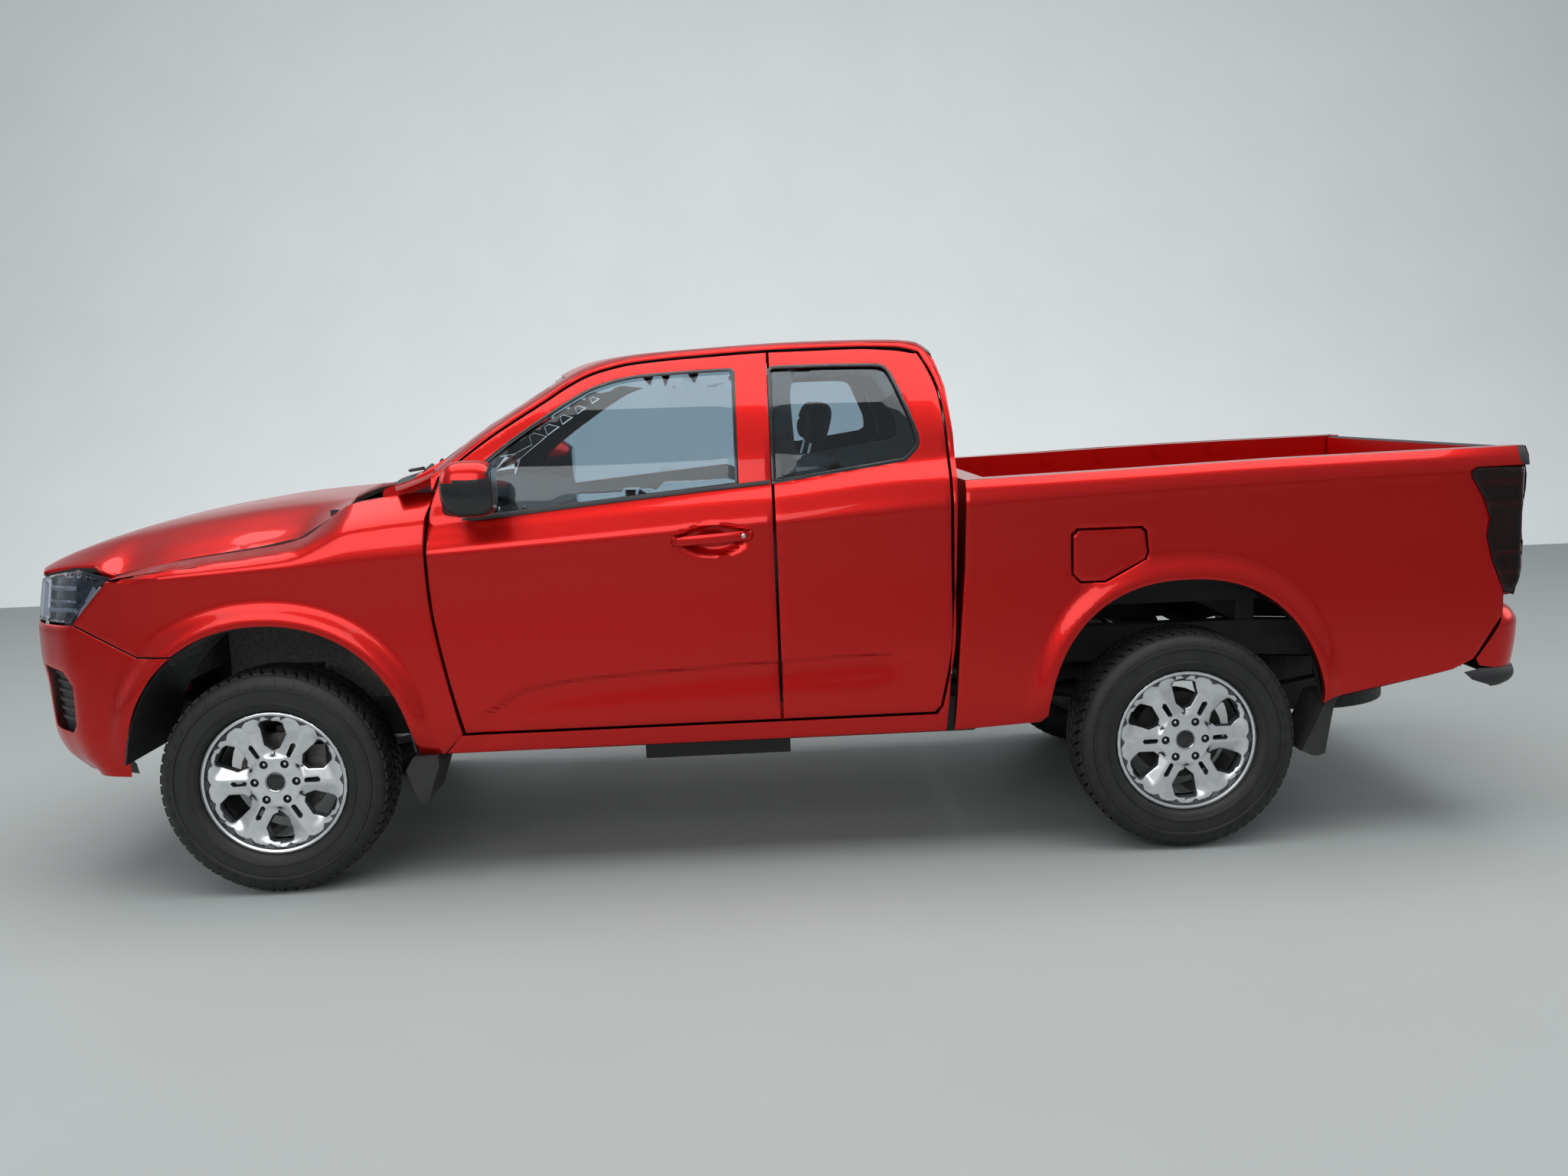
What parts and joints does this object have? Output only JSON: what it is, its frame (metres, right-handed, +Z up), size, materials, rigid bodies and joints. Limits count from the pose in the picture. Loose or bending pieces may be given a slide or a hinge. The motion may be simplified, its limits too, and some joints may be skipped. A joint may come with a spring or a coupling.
{
  "type": "pickup truck",
  "caption": "Extended-cab pickup truck with long front doors, short rear-hinged rear doors, a load bed with tailgate, and alloy wheels.",
  "frame": {"origin": "on the ground under the middle of the truck's length and width", "axes": "+X to the tail, +Y to the truck's right side, +Z up"},
  "size_m": [5.28, 2.15, 1.8246],
  "materials": {
    "body_red": "candy metallic",
    "black_plastic": "grained",
    "black_gloss": "gloss",
    "window_glass": "tinted",
    "lamp_glass": "gloss",
    "tail_lamp": "gloss",
    "frame_black": "painted",
    "bare_steel": "satin",
    "cast_metal": "rough",
    "alloy": "machined",
    "tyre_rubber": "matt",
    "flap_rubber": "matt",
    "seat_cloth": "woven",
    "cabin_plastic": "grained"
  },
  "bodies": {
    "chassis": {"ladder_frame": "frame_black", "engine": "cast_metal", "radiator": "bare_steel", "rear_axle": "frame_black", "leaf_springs": "frame_black", "driveshaft": "frame_black", "exhaust": "bare_steel", "fuel_tank": "black_plastic", "spare_wheel": "tyre_rubber", "front_suspension": "frame_black", "cab_shell": "body_red", "cab_glass": "window_glass", "cowl_panel": "black_plastic", "seats": "seat_cloth", "dashboard": "cabin_plastic", "front_fenders": "body_red", "front_bumper": "body_red", "grille": "black_gloss", "headlamps": "lamp_glass", "arch_liners": "black_plastic", "mud_flaps": "flap_rubber", "bed_sides": "body_red", "load_floor": "body_red", "tail_lamps": "tail_lamp", "rear_bumper": "body_red"},
    "hood": {"hood": "body_red"},
    "tailgate": {"tailgate": "body_red"},
    "fuel_flap": {"fuel_flap": "body_red"},
    "steering_wheel": {"steering_wheel": "cabin_plastic"},
    "front_door_left": {"front_door_left": "body_red", "front_glass_left": "window_glass", "mirror_left": "black_plastic"},
    "rear_door_left": {"rear_door_left": "body_red", "rear_glass_left": "window_glass"},
    "knuckle_left": {"knuckle_left": "cast_metal"},
    "wheel_front_left": {"tyre_front_left": "tyre_rubber", "rim_front_left": "alloy"},
    "wheel_rear_left": {"tyre_rear_left": "tyre_rubber", "rim_rear_left": "alloy"},
    "front_door_right": {"front_door_right": "body_red", "front_glass_right": "window_glass", "mirror_right": "black_plastic"},
    "rear_door_right": {"rear_door_right": "body_red", "rear_glass_right": "window_glass"},
    "knuckle_right": {"knuckle_right": "cast_metal"},
    "wheel_front_right": {"tyre_front_right": "tyre_rubber", "rim_front_right": "alloy"},
    "wheel_rear_right": {"tyre_rear_right": "tyre_rubber", "rim_rear_right": "alloy"}
  },
  "joints": [
    {"name": "steer_left", "type": "hinge", "parent": "chassis", "child": "knuckle_left", "pos_m": [-1.735, -0.7, 0.385], "axis": [0, 0, 1], "range_deg": [-32, 32]},
    {"name": "steer_right", "type": "hinge", "parent": "chassis", "child": "knuckle_right", "pos_m": [-1.735, 0.7, 0.385], "axis": [0, 0, 1], "range_deg": [-32, 32]},
    {"name": "wheel_front_left_spin", "type": "hinge", "parent": "knuckle_left", "child": "wheel_front_left", "pos_m": [-1.735, -0.785, 0.385], "axis": [0, 1, 0], "continuous": true},
    {"name": "wheel_rear_left_spin", "type": "hinge", "parent": "chassis", "child": "wheel_rear_left", "pos_m": [1.39, -0.785, 0.385], "axis": [0, 1, 0], "continuous": true},
    {"name": "front_door_left_hinge", "type": "hinge", "parent": "chassis", "child": "front_door_left", "pos_m": [-1.06, -0.879, 0.742], "axis": [0, 0, -1], "range_deg": [0, 65]},
    {"name": "rear_door_left_hinge", "type": "hinge", "parent": "chassis", "child": "rear_door_left", "pos_m": [0.48, -0.879, 0.742], "axis": [0, 0, 1], "range_deg": [0, 80]},
    {"name": "wheel_front_right_spin", "type": "hinge", "parent": "knuckle_right", "child": "wheel_front_right", "pos_m": [-1.735, 0.785, 0.385], "axis": [0, 1, 0], "continuous": true},
    {"name": "wheel_rear_right_spin", "type": "hinge", "parent": "chassis", "child": "wheel_rear_right", "pos_m": [1.39, 0.785, 0.385], "axis": [0, 1, 0], "continuous": true},
    {"name": "front_door_right_hinge", "type": "hinge", "parent": "chassis", "child": "front_door_right", "pos_m": [-1.06, 0.879, 0.742], "axis": [0, 0, 1], "range_deg": [0, 65]},
    {"name": "rear_door_right_hinge", "type": "hinge", "parent": "chassis", "child": "rear_door_right", "pos_m": [0.48, 0.879, 0.742], "axis": [0, 0, -1], "range_deg": [0, 80]},
    {"name": "hood_hinge", "type": "hinge", "parent": "chassis", "child": "hood", "pos_m": [-1.462, 0, 1.24], "axis": [0, 1, 0], "range_deg": [0, 50]},
    {"name": "tailgate_hinge", "type": "hinge", "parent": "chassis", "child": "tailgate", "pos_m": [2.575, 0, 0.845], "axis": [0, 1, 0], "range_deg": [0, 88]},
    {"name": "fuel_flap_hinge", "type": "hinge", "parent": "chassis", "child": "fuel_flap", "pos_m": [1.004, -0.8905, 1.046], "axis": [0, 0, -1], "range_deg": [0, 90]},
    {"name": "steering_wheel_turn", "type": "hinge", "parent": "chassis", "child": "steering_wheel", "pos_m": [-0.7, 0.375, 1.08], "axis": [0.9063, 0, 0.4226], "range_deg": [-520, 520]}
  ],
  "couplings": [
    {"joint": "steer_right", "follows": "steer_left", "ratio": 1}
  ]
}
